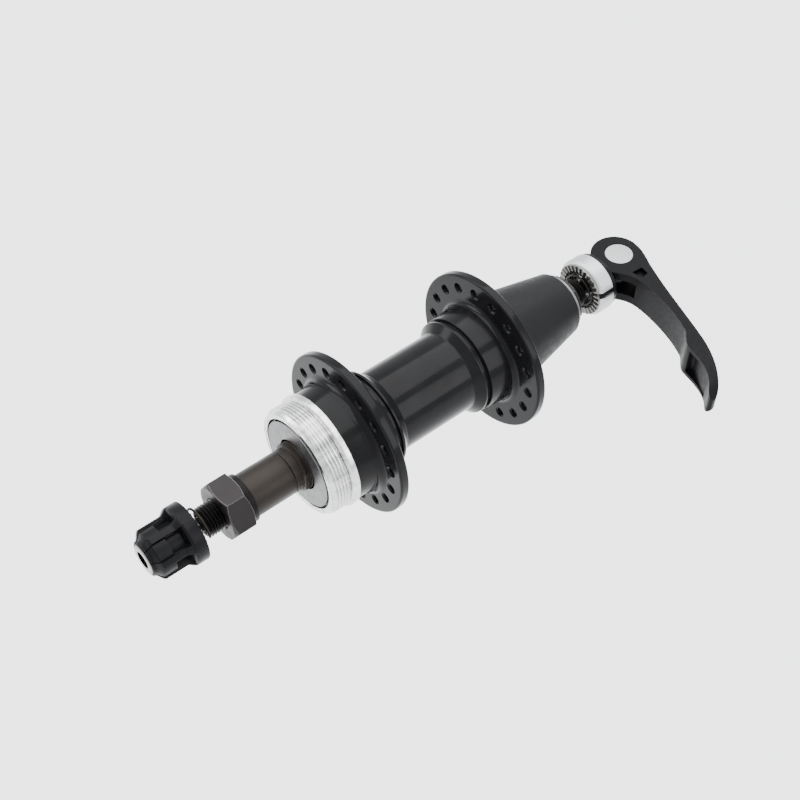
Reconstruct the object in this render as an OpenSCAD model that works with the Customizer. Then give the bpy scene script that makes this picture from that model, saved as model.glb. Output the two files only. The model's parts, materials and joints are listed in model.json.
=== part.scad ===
// Threaded rear bicycle hub with cup-and-cone bearings and a quick-release skewer.
// The axle lies along Y. The freewheel side is at -Y, the lever side at +Y, +Z is up, and the
// closed lever points along +X. The origin is on the axle axis, midway between the locknut faces.

/* [Axle] */
// Distance between the outer faces of the two locknuts
old_width = 135; // [134:0.5:136]
// Outer diameter of the axle thread
axle_d = 9.5; // [9.3:0.1:9.7]
// Length of axle that stands out past each locknut
axle_stub = 5.4; // [4.5:0.1:5.8]
// Width across the flats of the drive side locknut
locknut_af = 16.8; // [16:0.1:17]
// Width across the flats of the lever side locknut
left_locknut_af = 15; // [14:0.5:16]
// Turn of the locknuts about the axle, in degrees
locknut_turn = -2; // [-30:1:30]
// Thickness of the drive side locknut
drive_nut_t = 7.4; // [7:0.1:7.6]
// Thickness of the lever side locknut
left_nut_t = 2.3; // [2:0.1:2.6]
// Outer diameter of the drive side spacer tube
spacer_d = 13.6; // [13:0.1:14]

/* [Shell] */
// Outer diameter of both spoke flanges
flange_d = 53.2; // [52:0.1:54]
// Thickness of each spoke flange
flange_t = 3; // [2.6:0.1:3.2]
// Diameter of the spoke hole circle
spoke_pcd = 44; // [43.6:0.1:44.6]
// Spoke holes in each flange
spoke_count = 18; // [14:1:18]
// Diameter of one spoke hole
spoke_hole_d = 2.6; // [2.4:0.1:2.8]
// Outer diameter of the barrel between the flanges
barrel_d = 26.3; // [26:0.1:27]
// Bore of the grease chamber through the barrel
chamber_d = 20.4; // [19:0.1:21]
// Place of the drive flange's outer face along the axle
drive_flange_y = -22.65; // [-22.8:0.05:-22.5]
// Place of the lever side flange's outer face along the axle
left_flange_y = 33.45; // [33.3:0.05:33.6]

/* [Freewheel thread] */
// Major diameter of the freewheel thread, 1.375 inch
thread_d = 34.92; // [34.8:0.02:35]
// Front face of the threaded boss along the axle
boss_front_y = -39.8; // [-39.9:0.1:-39.7]
// Rear face of the threaded boss along the axle
boss_rear_y = -30.55; // [-30.6:0.05:-30.5]
// Outer diameter of the smooth stop band behind the thread
stop_band_d = 36.9; // [36.5:0.1:37.2]

/* [Bearings] */
// Ball diameter, one quarter inch
ball_d = 6.35; // [6.3:0.01:6.35]
// Radius of the circle that the ball centres run on
ball_circle_r = 10; // [9.9:0.05:10.1]
// Balls in each bearing
ball_count = 9; // [7:1:9]
// Running gap between a ball and its races
race_gap = 0.1; // [0.08:0.01:0.12]
// Ball plane of the drive side bearing along the axle
drive_ball_y = -33.5; // [-33.6:0.1:-33.4]
// Ball plane of the lever side bearing along the axle
left_ball_y = 28.6; // [28.5:0.1:28.7]

/* [Lever side cover] */
// Radius of the conical boot at its wide end
boot_wide_r = 16.3; // [16:0.1:16.5]
// Radius of the conical boot at its narrow end
boot_narrow_r = 10.7; // [10.5:0.1:11]
// Wall thickness of the boot
boot_wall = 1.5; // [1.3:0.1:1.7]
// Wide end of the boot along the axle
boot_base_y = 34.8; // [34.7:0.1:34.9]
// Narrow end of the boot along the axle
boot_end_y = 63.85; // [63.6:0.05:64]

/* [Skewer] */
// Diameter of the skewer rod
rod_d = 5; // [4.8:0.1:5]
// Bore of the hollow axle that the rod passes through
axle_bore_d = 5.6; // [5.4:0.1:5.8]
// Distance from the hub centre to the lever's pivot axis
pivot_y = 91.35; // [91.2:0.05:91.5]
// Diameter of the barrel-shaped pivot pin
pin_d = 9.4; // [9.2:0.1:9.5]
// Front face of the cam housing along the axle
housing_front_y = 73.65; // [73.5:0.05:73.8]
// Rear face of the cam housing along the axle
housing_rear_y = 80.05; // [80:0.05:80.1]
// Outer diameter of the cam housing
housing_d = 19.6; // [19.2:0.1:20]

/* [Lever] */
// Thickness of the lever along the pin
lever_t = 11.6; // [11.2:0.1:12]
// Gap between the two fork legs
fork_gap = 5.8; // [5.5:0.1:6]
// Cam radius that bears on the saddle when the lever is closed
cam_closed_r = 9.9; // [9.8:0.1:9.9]
// Travel of the housing while the lever turns from closed to open
cam_lift = 2.4; // [2:0.1:2.4]

/* [Adjusting nut] */
// Outer diameter of the nut's flange
nut_flange_d = 18.4; // [18:0.1:18.8]
// Radius of the nut's ribs at the outer end
nut_rib_r = 7.8; // [7.6:0.1:8]
// Face of the nut that meets the frame, along the axle
nut_face_y = -75.95; // [-76.1:0.05:-75.8]
// Outer end of the nut along the axle
nut_end_y = -91.6; // [-91.8:0.1:-91.4]
// Number of ribs round the nut
nut_ribs = 6; // [4:1:6]

/* [Hidden] */

$fn = 96;
eps = 0.01;
axle_r = axle_d / 2;
half_old = old_width / 2;
axle_end_y = half_old + axle_stub;
seat_gap = 0.02;
thread_seat_r = axle_r + seat_gap;

// Drive side stack, from the outside inwards
drive_washer_y = -half_old + drive_nut_t;
drive_washer_t = 1.8;
drive_spacer_y = drive_washer_y + drive_washer_t;
drive_cone_y = -44.5;
cone_neck_r = 6.85;
cone_collar_r = 7.7;
cone_collar_t = 2.5;
cone_flats_af = 14;
cone_flats_w = 1.9;
flat_cut = 4;
cone_race_r = 8.75;
cone_race_back = 3.4;
cone_tip_r = 7;
cone_tip_l = 1.7;
washer_r = 7.6;
washer_edge = 0.2;
spacer_edge = 0.25;
axle_tip = 0.6;
locknut_face_in = 0.15;
locknut_cutter_out = 0.3;
locknut_bevel_turn = 30;

// Lever side stack, from the outside inwards
left_washer_t = 3.2;
left_washer_r = 9.6;
left_nut_y = half_old - left_nut_t;
left_washer_y = left_nut_y - left_washer_t;
boot_web_t = 1.5;
boot_mouth_r = 9.9;
boot_web_y = left_washer_y - boot_web_t;
boot_tip_l = 0.7;
boot_tip_w = 0.5;
boot_axle_gap = 0.05;
left_cone_y = 44;
left_neck_l = 4;

// Bearing seats
ball_r = ball_d / 2;
race_r = ball_r + race_gap;
cup_r = 14.4;
cup_lip_r = 10.8;
cup_back = 5.2;
cup_front = 3;
cup_wall = 1.2;
cup_lip_back = 0.4;
cap_r = 14.4;
cap_face_r = 14.2;
cap_hole_r = 8.2;
cap_t = 1.2;
cap_skirt_t = 0.8;
cap_skirt_l = 2.2;
cap_edge = 0.3;
left_cap_skirt_l = 0.8;
left_cap_gap = 1;
drive_cap_y = drive_ball_y - cup_front - cap_t - cap_skirt_l;
left_cap_y = left_ball_y + cup_front + cap_t + left_cap_gap;

// Outer shape of the shell
barrel_r = barrel_d / 2;
flange_r = flange_d / 2;
flange_edge = 0.7;
shoulder_r = 17.4;
shoulder_top_r = 18.2;
shoulder_top_y = -25.4;
flange_foot_r = 20.2;
spigot_r = 15.7;
spigot_front_y = -37.9;
collar_r = 15.9;
collar_root_r = 16.6;
collar_foot_r = 18.4;
groove_r = 14.7;
groove_w = 1.4;
land_w = 0.8;
ring_rise = 2.5;
drive_inner_y = drive_flange_y + flange_t;
left_inner_y = left_flange_y - flange_t;
drive_groove_y = -14.2;
left_groove_y = 21.6;
shell_left_r = 16.2;
shell_left_y = 34.2;
spoke_circle_r = spoke_pcd / 2;
spoke_chamfer = 0.45;
left_spoke_turn = 0;
drive_spoke_turn = 180 / spoke_count;

// Threaded boss
thread_r = thread_d / 2;
boss_lip_r = 14.9;
boss_chamfer = 1.1;
stop_band_r = stop_band_d / 2;
stop_band_y = -33.1;
relief_r = 16.9;
relief_w = 0.6;
band_round = 0.6;
lip_edge = 0.3;

// Skewer and cam
rod_r = rod_d / 2;
rod_end_y = -88.4;
rod_tip = 0.5;
axle_bore_r = axle_bore_d / 2;
pin_r = pin_d / 2;
pin_sink = 0.1;
pin_half = lever_t / 2 - pin_sink;
pin_chamfer = 0.4;
pin_gap = 0.05;
housing_r = housing_d / 2;
housing_chamfer = 0.9;
housing_edge = 0.3;
bite_r = 8.9;
bite_t = 0.75;
bite_edge = 0.2;
bite_hole_r = 6.6;
bite_teeth = 28;
tooth_w = 0.7;
tooth_d = 0.4;
tooth_run = 0.5;
recess_y = 77.3;
rod_gap = 0.3;
saddle_r = 8.2;
saddle_lip_r = 9.3;
saddle_y = 77.8;
saddle_lip_gap = 0.05;
saddle_lip_y = housing_rear_y + saddle_lip_gap;
saddle_depth = 9.4;
saddle_end_y = pivot_y - saddle_depth;
saddle_edge = 0.4;
saddle_seat_gap = 0.15;
saddle_seat_r = 13.5;
slot_w = 2;
slot_turn = 19;
rib_gap = 0.15;
rib_r = 9.1;
rib_front_y = housing_front_y + bite_t + rib_gap;
slot_floor_r = 7.6;

// Lever outline, with x along the closed lever and y along the axle, from the pivot
cam_open_turn = 90;
cam_closed_turn = 270;
cam_end_turn = 300;
cam_run_out = 0.012;
cam_heel = [7.4, -6.9];
root_hollow = [17, -3.8];
inner_belly = [37.4, -9];
recess_heel = [42.2, -13.4];
recess_toe = [56.4, -19.2];
tip_point = [60.5, -22.4];
outer_shoulder = [57.4, -16.2];
outer_crest = [40.2, -6.4];
cam_crown = [7.4, 5.2];
plan_narrow_x = 44;
plan_tip_x = 61.9;
fork_end_x = 12.6;
finger_x = 49.7;
finger_y = -16.2;
finger_tilt = 22;
finger_l = 12.6;
finger_deep = 4.4;
finger_rim = 1.3;
window_x = 9.4;
window_w = 2.7;
window_l = 3.3;
window_drop = 2.9;
window_rise = 0.7;
window_lean = 0.45;
window_deep = 1.6;

// Adjusting nut
nut_flange_r = nut_flange_d / 2;
nut_flange_t = 3.4;
nut_flange_fall = 1.6;
nut_edge = 0.3;
nut_step_l = 6;
nut_step_y = nut_face_y - nut_step_l;
nut_pocket_l = 4.6;
nut_pocket_r = 6.1;
nut_pocket_w = 4.6;
nut_block_r = 7.2;
nut_pocket_in = 1.2;
nut_pocket_cut = 4;
nut_taper_l = 1.6;
nut_taper_y = nut_end_y + nut_taper_l;
nut_taper_r = 6.6;
nut_lip_w = 0.8;
nut_insert_r = 4.5;
nut_insert_y = -80.6;
nut_insert_proud = 0.25;
nut_insert_end_y = nut_end_y - nut_insert_proud;
nut_insert_edge = 0.2;
nut_thread_edge = 0.4;
nut_recess_r = 6.4;
nut_recess_y = -79.9;
nut_bite_r = 8.2;
nut_bite_t = 0.8;
nut_bite_proud = 0.4;
nut_bite_edge = 0.1;
nut_bite_front_y = nut_face_y + nut_bite_proud;
rib_foot = 0.4;
rib_root = 0.5;
rib_top_l = 0.6;
rib_end_in = 0.3;
rib_flange_in = 0.2;
rib_first_turn = 21;
rib_w = 2.4;

// Springs
spring_gap = 0.5;
spring_axle_r = 3.6;
housing_spring_r = 5.9;
nut_spring_r = 5.7;
spring_wire_r = 0.45;
spring_turns = 3.5;
spring_steps = 20;
wire_sides = 8;

// ---------- helpers ----------

// A solid of revolution about the Y axis: points are [radius, y]
module turned(points, facets = 96) {
    rotate([-90, 0, 0])
        rotate_extrude($fn = facets)
            polygon(points);
}

// A ring of circular section about the Y axis, at ring radius r and place y
module torus_cut(r, y, section_r) {
    translate([0, y, 0])
        rotate([-90, 0, 0])
            rotate_extrude($fn = 96)
                translate([r, 0])
                    circle(r = section_r, $fn = 64);
}

// A cylinder along +Y that starts at y
module rod_y(y, length, r, facets = 64) {
    translate([0, y, 0])
        rotate([-90, 0, 0])
            cylinder(h = length, r = r, $fn = facets);
}

// A cone frustum along +Y that starts at y
module cone_y(y, length, r1, r2, facets = 64) {
    translate([0, y, 0])
        rotate([-90, 0, 0])
            cylinder(h = length, r1 = r1, r2 = r2, $fn = facets);
}

// Points of a concave fillet between a cylinder at radius r0 and a face at place y1
function fillet_out(r0, r1, y0, y1, steps = 6) =
    [for (i = [0:steps]) let (a = 90 * i / steps)
        [r1 - (r1 - r0) * cos(a), y0 + (y1 - y0) * sin(a)]];

// Turns a list of points end for end
function reversed(points) = [for (i = [len(points) - 1:-1:0]) points[i]];

// Points on a cubic curve through four control points
function bezier(a, b, c, d, steps = 10) =
    [for (i = [0:steps]) let (t = i / steps, u = 1 - t)
        a * u * u * u + b * 3 * u * u * t + c * 3 * u * t * t + d * t * t * t];

// A round wire swept along a conical coil about the Y axis
module conical_spring(y0, y1, r0, r1) {
    count = spring_turns * spring_steps;
    centre = [for (i = [0:count]) let (t = i / count, a = 360 * spring_turns * t)
        [(r0 + (r1 - r0) * t) * cos(a), y0 + (y1 - y0) * t, (r0 + (r1 - r0) * t) * sin(a)]];
    points = [for (i = [0:count]) let (a = 360 * spring_turns * i / count)
        for (k = [0:wire_sides - 1]) let (b = 360 * k / wire_sides)
            centre[i] + spring_wire_r * [cos(b) * cos(a), sin(b), cos(b) * sin(a)]];
    sides = [for (i = [0:count - 1]) for (k = [0:wire_sides - 1])
        let (n = (k + 1) % wire_sides, base = i * wire_sides, next = base + wire_sides)
            [base + k, next + k, next + n, base + n]];
    first_cap = [for (k = [0:wire_sides - 1]) k];
    last_cap = [for (k = [wire_sides - 1:-1:0]) count * wire_sides + k];
    polyhedron(points = points, faces = concat(sides, [first_cap], [last_cap]), convexity = 10);
}

// ---------- rotating shell ----------

function shell_outline() = concat(
    [[spigot_r, spigot_front_y], [spigot_r, boss_rear_y]],
    [[shoulder_r, boss_rear_y], [shoulder_top_r, shoulder_top_y]],
    fillet_out(shoulder_top_r, flange_foot_r, shoulder_top_y, drive_flange_y),
    [[flange_r - flange_edge, drive_flange_y], [flange_r, drive_flange_y + flange_edge]],
    [[flange_r, drive_inner_y - flange_edge], [flange_r - flange_edge, drive_inner_y]],
    reversed(fillet_out(collar_root_r, collar_foot_r, drive_inner_y + 2, drive_inner_y)),
    [[collar_r, drive_groove_y], [groove_r, drive_groove_y], [groove_r, drive_groove_y + groove_w]],
    [[barrel_r + ring_rise, drive_groove_y + groove_w]],
    [[barrel_r + ring_rise, drive_groove_y + groove_w + land_w]],
    [[barrel_r, drive_groove_y + groove_w + land_w + ring_rise]],
    [[barrel_r, left_groove_y - groove_w - land_w - ring_rise]],
    [[barrel_r + ring_rise, left_groove_y - groove_w - land_w]],
    [[barrel_r + ring_rise, left_groove_y - groove_w], [groove_r, left_groove_y - groove_w]],
    [[groove_r, left_groove_y], [collar_r, left_groove_y]],
    fillet_out(collar_root_r, collar_foot_r, left_inner_y - 2, left_inner_y),
    [[flange_r - flange_edge, left_inner_y], [flange_r, left_inner_y + flange_edge]],
    [[flange_r, left_flange_y - flange_edge], [flange_r - flange_edge, left_flange_y]],
    [[shell_left_r, left_flange_y], [shell_left_r, shell_left_y]]
);

module spoke_holes(face_y, turn) {
    for (i = [0:spoke_count - 1])
        rotate([0, turn + 360 * i / spoke_count, 0])
            translate([spoke_circle_r, 0, 0]) {
                rod_y(face_y - eps, flange_t + 2 * eps, spoke_hole_d / 2, 32);
                cone_y(face_y - eps, spoke_chamfer, spoke_hole_d / 2 + spoke_chamfer, spoke_hole_d / 2, 32);
                cone_y(face_y + flange_t - spoke_chamfer + eps, spoke_chamfer,
                    spoke_hole_d / 2, spoke_hole_d / 2 + spoke_chamfer, 32);
            }
}

module hub_shell() {
    drive_seat_y = drive_ball_y + cup_back + seat_gap;
    left_seat_y = left_ball_y - cup_back - seat_gap;
    color("#16171a")
        difference() {
            turned(concat([[chamber_d / 2, spigot_front_y], [chamber_d / 2, shell_left_y]],
                reversed(shell_outline())));
            rod_y(spigot_front_y - eps, drive_seat_y - spigot_front_y + eps, cup_r + seat_gap);
            rod_y(left_seat_y, shell_left_y - left_seat_y + eps, cup_r + seat_gap);
            spoke_holes(drive_flange_y, drive_spoke_turn);
            spoke_holes(left_inner_y, left_spoke_turn);
        }
}

module threaded_boss() {
    color("#d5d6d6")
        turned([
            [boss_lip_r, spigot_front_y - seat_gap], [boss_lip_r, boss_front_y + lip_edge],
            [boss_lip_r + lip_edge, boss_front_y], [thread_r - boss_chamfer, boss_front_y],
            [thread_r, boss_front_y + boss_chamfer], [thread_r, stop_band_y - relief_w],
            [relief_r, stop_band_y - relief_w], [relief_r, stop_band_y],
            [stop_band_r, stop_band_y], [stop_band_r, boss_rear_y - band_round],
            [stop_band_r - band_round, boss_rear_y - seat_gap],
            [spigot_r + seat_gap, boss_rear_y - seat_gap],
            [spigot_r + seat_gap, spigot_front_y - seat_gap]
        ]);
}

// A pressed bearing cup: side is -1 for a bearing that opens towards -Y, 1 towards +Y
module bearing_cup(ball_y, side) {
    color("#7c7f84")
        difference() {
            turned([
                [cup_lip_r, ball_y - side * cup_back], [cup_r, ball_y - side * cup_back],
                [cup_r, ball_y + side * cup_front], [cup_r - cup_wall, ball_y + side * cup_front],
                [cup_lip_r, ball_y - side * cup_lip_back]
            ]);
            torus_cut(ball_circle_r, ball_y, race_r);
        }
}

module drive_bearing_cup() bearing_cup(drive_ball_y, -1);
module left_bearing_cup() bearing_cup(left_ball_y, 1);

// The pressed dust cap seen inside the boss
module drive_dust_cap() {
    back_y = drive_cap_y + cap_t;
    color("#9fa1a4")
        turned([
            [cap_hole_r, drive_cap_y], [cap_face_r - cap_edge, drive_cap_y],
            [cap_face_r, drive_cap_y + cap_edge], [cap_face_r, back_y], [cap_r, back_y],
            [cap_r, back_y + cap_skirt_l], [cap_r - cap_skirt_t, back_y + cap_skirt_l],
            [cap_r - cap_skirt_t, back_y], [cap_hole_r, back_y]
        ]);
}

// The flat dust cap under the boot
module left_dust_cap() {
    back_y = left_cap_y - cap_t;
    color("#9fa1a4")
        turned([
            [cap_hole_r, left_cap_y], [cap_r, left_cap_y], [cap_r, back_y - left_cap_skirt_l],
            [cap_r - cap_skirt_t, back_y - left_cap_skirt_l],
            [cap_r - cap_skirt_t, back_y], [cap_hole_r, back_y]
        ]);
}

// ---------- balls ----------

module ball_ring(ball_y) {
    color("#c9cbce")
        for (i = [0:ball_count - 1])
            rotate([0, 360 * i / ball_count, 0])
                translate([ball_circle_r, ball_y, 0])
                    sphere(r = ball_r, $fn = 48);
}

module drive_bearing_balls() ball_ring(drive_ball_y);
module left_bearing_balls() ball_ring(left_ball_y);

// ---------- fixed axle ----------

module hollow_axle() {
    color("#55504b")
        turned([
            [axle_bore_r, -axle_end_y], [axle_r - axle_tip, -axle_end_y],
            [axle_r, -axle_end_y + axle_tip], [axle_r, axle_end_y - axle_tip],
            [axle_r - axle_tip, axle_end_y], [axle_bore_r, axle_end_y]
        ]);
}

// Outline of a cone's race end, with the ball plane at y and the open side towards side
function cone_race(y, side) = [
    [cone_race_r, y + side * cone_race_back], [cone_tip_r, y - side * cone_tip_l],
    [thread_seat_r, y - side * cone_tip_l]
];

// The two spanner flats cut into a cone, centred at y
module cone_flats(y) {
    for (side = [-1, 1])
        translate([side * (cone_flats_af + flat_cut) / 2, y, 0])
            cube([flat_cut, cone_flats_w + 2 * eps, 3 * cone_collar_r], center = true);
}

module drive_cone() {
    collar_y = drive_cone_y + cone_collar_t;
    color("#3b3633")
        difference() {
            turned(concat(
                [[thread_seat_r, drive_cone_y], [cone_neck_r, drive_cone_y]],
                [[cone_neck_r, collar_y], [cone_collar_r, collar_y]],
                [[cone_collar_r, drive_ball_y - cone_race_back]],
                cone_race(drive_ball_y, -1)));
            torus_cut(ball_circle_r, drive_ball_y, race_r);
            cone_flats(collar_y + cone_flats_w / 2);
        }
}

module left_cone() {
    collar_y = left_cone_y - left_neck_l;
    color("#3b3633")
        difference() {
            turned(concat(
                reversed(cone_race(left_ball_y, 1)),
                [[cone_collar_r, left_ball_y + cone_race_back], [cone_collar_r, collar_y]],
                [[cone_neck_r, collar_y], [cone_neck_r, left_cone_y]],
                [[thread_seat_r, left_cone_y]]));
            torus_cut(ball_circle_r, left_ball_y, race_r);
            cone_flats(collar_y - cone_flats_w / 2);
        }
}

// A plain tube or washer along Y with chamfered outer edges
module spacer(y0, y1, inner_r, outer_r, edge) {
    turned([
        [inner_r, y0], [outer_r - edge, y0], [outer_r, y0 + edge],
        [outer_r, y1 - edge], [outer_r - edge, y1], [inner_r, y1]
    ]);
}

module drive_spacer()
    color("#3f3a36") spacer(drive_spacer_y, drive_cone_y, thread_seat_r, spacer_d / 2, spacer_edge);

module left_spacer()
    color("#3f3a36") spacer(left_cone_y, boot_web_y, thread_seat_r, spacer_d / 2, spacer_edge);

module drive_lock_washer()
    color("#4a4541") spacer(drive_washer_y, drive_spacer_y, thread_seat_r, washer_r, washer_edge);

module left_lock_washer()
    color("#9fa1a4") spacer(left_washer_y, left_nut_y, thread_seat_r, left_washer_r, washer_edge);

// A hexagonal nut along Y, af wide across its flats, whose corners are cut by a cone at both ends
module hex_nut(y0, y1, af) {
    corner_r = af / 2 / cos(30);
    face_r = af / 2 - locknut_face_in;
    cutter_r = corner_r + locknut_cutter_out;
    rise = (cutter_r - face_r) * tan(locknut_bevel_turn);
    color("#4d4742")
        difference() {
            intersection() {
                rotate([0, -locknut_turn, 0])
                    translate([0, y0, 0])
                        rotate([-90, 0, 0])
                            cylinder(h = y1 - y0, r = corner_r, $fn = 6);
                turned([
                    [0, y0], [face_r, y0], [cutter_r, y0 + rise],
                    [cutter_r, y1 - rise], [face_r, y1], [0, y1]
                ]);
            }
            rod_y(y0 - eps, y1 - y0 + 2 * eps, thread_seat_r);
        }
}

module drive_locknut() hex_nut(-half_old, drive_washer_y, locknut_af);
module left_locknut() hex_nut(left_nut_y, half_old, left_locknut_af);

module left_boot() {
    axle_hole_r = axle_r + boot_axle_gap;
    slope = (boot_wide_r - boot_narrow_r) / (boot_end_y - boot_base_y);
    web_r = boot_wide_r - boot_wall - slope * (boot_web_y - boot_base_y);
    color("#3a3b3d")
        turned([
            [boot_wide_r - boot_wall, boot_base_y], [boot_wide_r, boot_base_y],
            [boot_narrow_r, boot_end_y - boot_tip_l], [boot_narrow_r - boot_tip_w, boot_end_y],
            [boot_mouth_r, boot_end_y], [boot_mouth_r, boot_web_y + boot_web_t],
            [axle_hole_r, boot_web_y + boot_web_t], [axle_hole_r, boot_web_y],
            [web_r, boot_web_y]
        ]);
}

// ---------- skewer ----------

module skewer_rod() {
    color("#a9abae")
        turned([
            [0, rod_end_y], [rod_r - rod_tip, rod_end_y], [rod_r, rod_end_y + rod_tip],
            [rod_r, pivot_y - pin_gap], [0, pivot_y - pin_gap]
        ], 64);
}

module pivot_pin() {
    color("#c8c9cb")
        difference() {
            translate([0, pivot_y, 0])
                rotate_extrude($fn = 96)
                    polygon([
                        [0, -pin_half], [pin_r - pin_chamfer, -pin_half], [pin_r, -pin_half + pin_chamfer],
                        [pin_r, pin_half - pin_chamfer], [pin_r - pin_chamfer, pin_half], [0, pin_half]
                    ]);
            rod_y(pivot_y - 2 * pin_r, 2 * pin_r, rod_r + seat_gap);
        }
}

// Radius of the cam at an angle, measured from the pivot with the lever closed
function cam_r(a) = cam_closed_r - cam_lift * max(0, 270 - a) / 180;

// Outline of the lever in the plane across the pin: x along the lever, y along the axle
function lever_outline() = concat(
    [for (a = [cam_open_turn:6:cam_closed_turn]) cam_r(a) * [cos(a), sin(a)]],
    [for (a = [cam_closed_turn + 10:10:cam_end_turn])
        (cam_closed_r - (a - cam_closed_turn) * cam_run_out) * [cos(a), sin(a)]],
    bezier(cam_heel, root_hollow - [7, 0.8], root_hollow - [4, -0.1], root_hollow, 6),
    bezier(root_hollow + [4, -0.4], [27, -5], [32.5, -6.6], inner_belly, 8),
    bezier(inner_belly + [1.8, -1.3], [40.6, -11.6], recess_heel - [1, -0.8], recess_heel + [1.4, -0.5], 6),
    bezier(recess_heel + [4.4, -0.9], [50.6, -15], [53.6, -16.6], recess_toe, 8),
    bezier(recess_toe + [1.3, -1.3], [58.8, -21.9], tip_point - [0.9, 0.1], tip_point, 6),
    bezier(tip_point + [0.8, 0.2], tip_point + [0.6, 2], [59.4, -18.4], outer_shoulder, 8),
    bezier(outer_shoulder + [-2.4, 2.2], [51, -10.8], [45.6, -8.6], outer_crest, 8),
    bezier([34, -4], [25, -1.2], [15, 2.6], cam_crown, 8),
    bezier(cam_crown + [-1.6, 0.6], [4, 6.6], [2, 7.3], [0.8, cam_closed_r - cam_lift], 4)
);

// Plan of the lever seen along the axle: it narrows to a rounded tip
function lever_plan() = let (h = lever_t / 2, soft = 0.75 * h, mid_x = (plan_narrow_x + 2 * plan_tip_x) / 3)
    concat(
        [[-2 * h - pin_r, -h], [plan_narrow_x, -h]],
        bezier([plan_narrow_x, -h], [mid_x, -h], [plan_tip_x, -soft], [plan_tip_x, 0]),
        bezier([plan_tip_x, 0], [plan_tip_x, soft], [mid_x, h], [plan_narrow_x, h]),
        [[-2 * h - pin_r, h]]
    );

module qr_lever() {
    color("#232427")
        translate([0, pivot_y, 0])
            difference() {
                intersection() {
                    translate([0, 0, -lever_t / 2])
                        linear_extrude(lever_t)
                            polygon(lever_outline());
                    translate([0, 20, 0])
                        rotate([90, 0, 0])
                            linear_extrude(60)
                                polygon(lever_plan());
                }
                cylinder(h = lever_t + 2, r = pin_r + pin_gap, center = true, $fn = 96);
                fork_slot();
                finger_recess();
                for (side = [-1, 1])
                    translate([window_x, 0, side * lever_t / 2])
                        fork_window();
            }
}

// Clearance for the rod, from the pin out to the round end of the fork
module fork_slot() {
    translate([0, 0, -fork_gap / 2])
        linear_extrude(fork_gap)
            polygon([[-14, -14], [fork_end_x - 4, -14], [fork_end_x, -8], [fork_end_x, -2.6],
                [fork_end_x - 4.2, 1.2], [fork_end_x - 4.2, 12], [-14, 12]]);
}

// Four-sided window in the face of a fork leg
module fork_window() {
    translate([0, -window_drop, -window_deep])
        linear_extrude(2 * window_deep)
            polygon([[0, 0], [window_w, window_rise],
                [window_w - window_lean, window_l], [window_lean, window_l]]);
}

// Hollow for the fingertip in the hub-facing side of the handle
module finger_recess() {
    translate([finger_x, finger_y, 0])
        rotate([0, 0, -finger_tilt])
            cube([finger_l, finger_deep, lever_t - 2 * finger_rim], center = true);
}

// ---------- cam housing ----------

module cam_housing() {
    color("#e2e3e4")
        difference() {
            turned([
                [rod_r + rod_gap, recess_y], [bite_hole_r, recess_y],
                [bite_hole_r, housing_front_y + bite_t], [bite_r, housing_front_y + bite_t],
                [housing_r, housing_front_y + bite_t + housing_chamfer],
                [housing_r, housing_rear_y - housing_edge],
                [housing_r - housing_edge, housing_rear_y], [saddle_r + seat_gap, housing_rear_y],
                [saddle_r + seat_gap, saddle_y], [rod_r + rod_gap, saddle_y]
            ]);
            rotate([0, -slot_turn, 0])
                translate([slot_floor_r, housing_front_y + bite_t, -slot_w / 2])
                    cube([housing_r, housing_rear_y - housing_front_y, slot_w]);
        }
}

module cam_saddle() {
    color("#1c1d1f")
        difference() {
            union() {
                turned([
                    [rod_r + rod_gap, saddle_y + seat_gap], [saddle_r, saddle_y + seat_gap],
                    [saddle_r, saddle_lip_y], [saddle_lip_r, saddle_lip_y],
                    [saddle_lip_r, saddle_end_y - saddle_edge],
                    [saddle_lip_r - saddle_edge, saddle_end_y],
                    [rod_r + rod_gap, saddle_end_y]
                ]);
                rotate([0, -slot_turn, 0])
                    translate([slot_floor_r + rib_gap, rib_front_y, -slot_w / 2 + rib_gap])
                        cube([rib_r - slot_floor_r - rib_gap, saddle_lip_y + eps - rib_front_y,
                            slot_w - 2 * rib_gap]);
            }
            seat_bottom = pivot_y - cam_closed_r - saddle_seat_gap;
            translate([0, seat_bottom + saddle_seat_r, 0])
                cylinder(h = 3 * saddle_lip_r, r = saddle_seat_r, center = true, $fn = 128);
        }
}

// The gaps between the teeth of a bite ring, from radius r0 to r1, starting at y
module tooth_gaps(r0, r1, y) {
    for (i = [0:bite_teeth - 1])
        rotate([0, 360 * i / bite_teeth, 0])
            translate([r0 - tooth_run, y, -tooth_w / 2])
                cube([r1 - r0 + 2 * tooth_run, tooth_d + eps, tooth_w]);
}

module housing_bite_ring() {
    color("#8d8f92")
        difference() {
            turned([
                [bite_hole_r, housing_front_y], [bite_r - bite_edge, housing_front_y],
                [bite_r, housing_front_y + bite_edge], [bite_r, housing_front_y + bite_t],
                [bite_hole_r, housing_front_y + bite_t]
            ]);
            tooth_gaps(bite_hole_r, bite_r, housing_front_y - eps);
        }
}

module lever_side_spring() {
    color("#4a3f36")
        conical_spring(axle_end_y + spring_gap, recess_y - spring_gap, spring_axle_r, housing_spring_r);
}

module nut_side_spring() {
    color("#4a3f36")
        conical_spring(-axle_end_y - spring_gap, nut_recess_y + spring_gap, spring_axle_r, nut_spring_r);
}

// ---------- adjusting nut ----------

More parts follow.
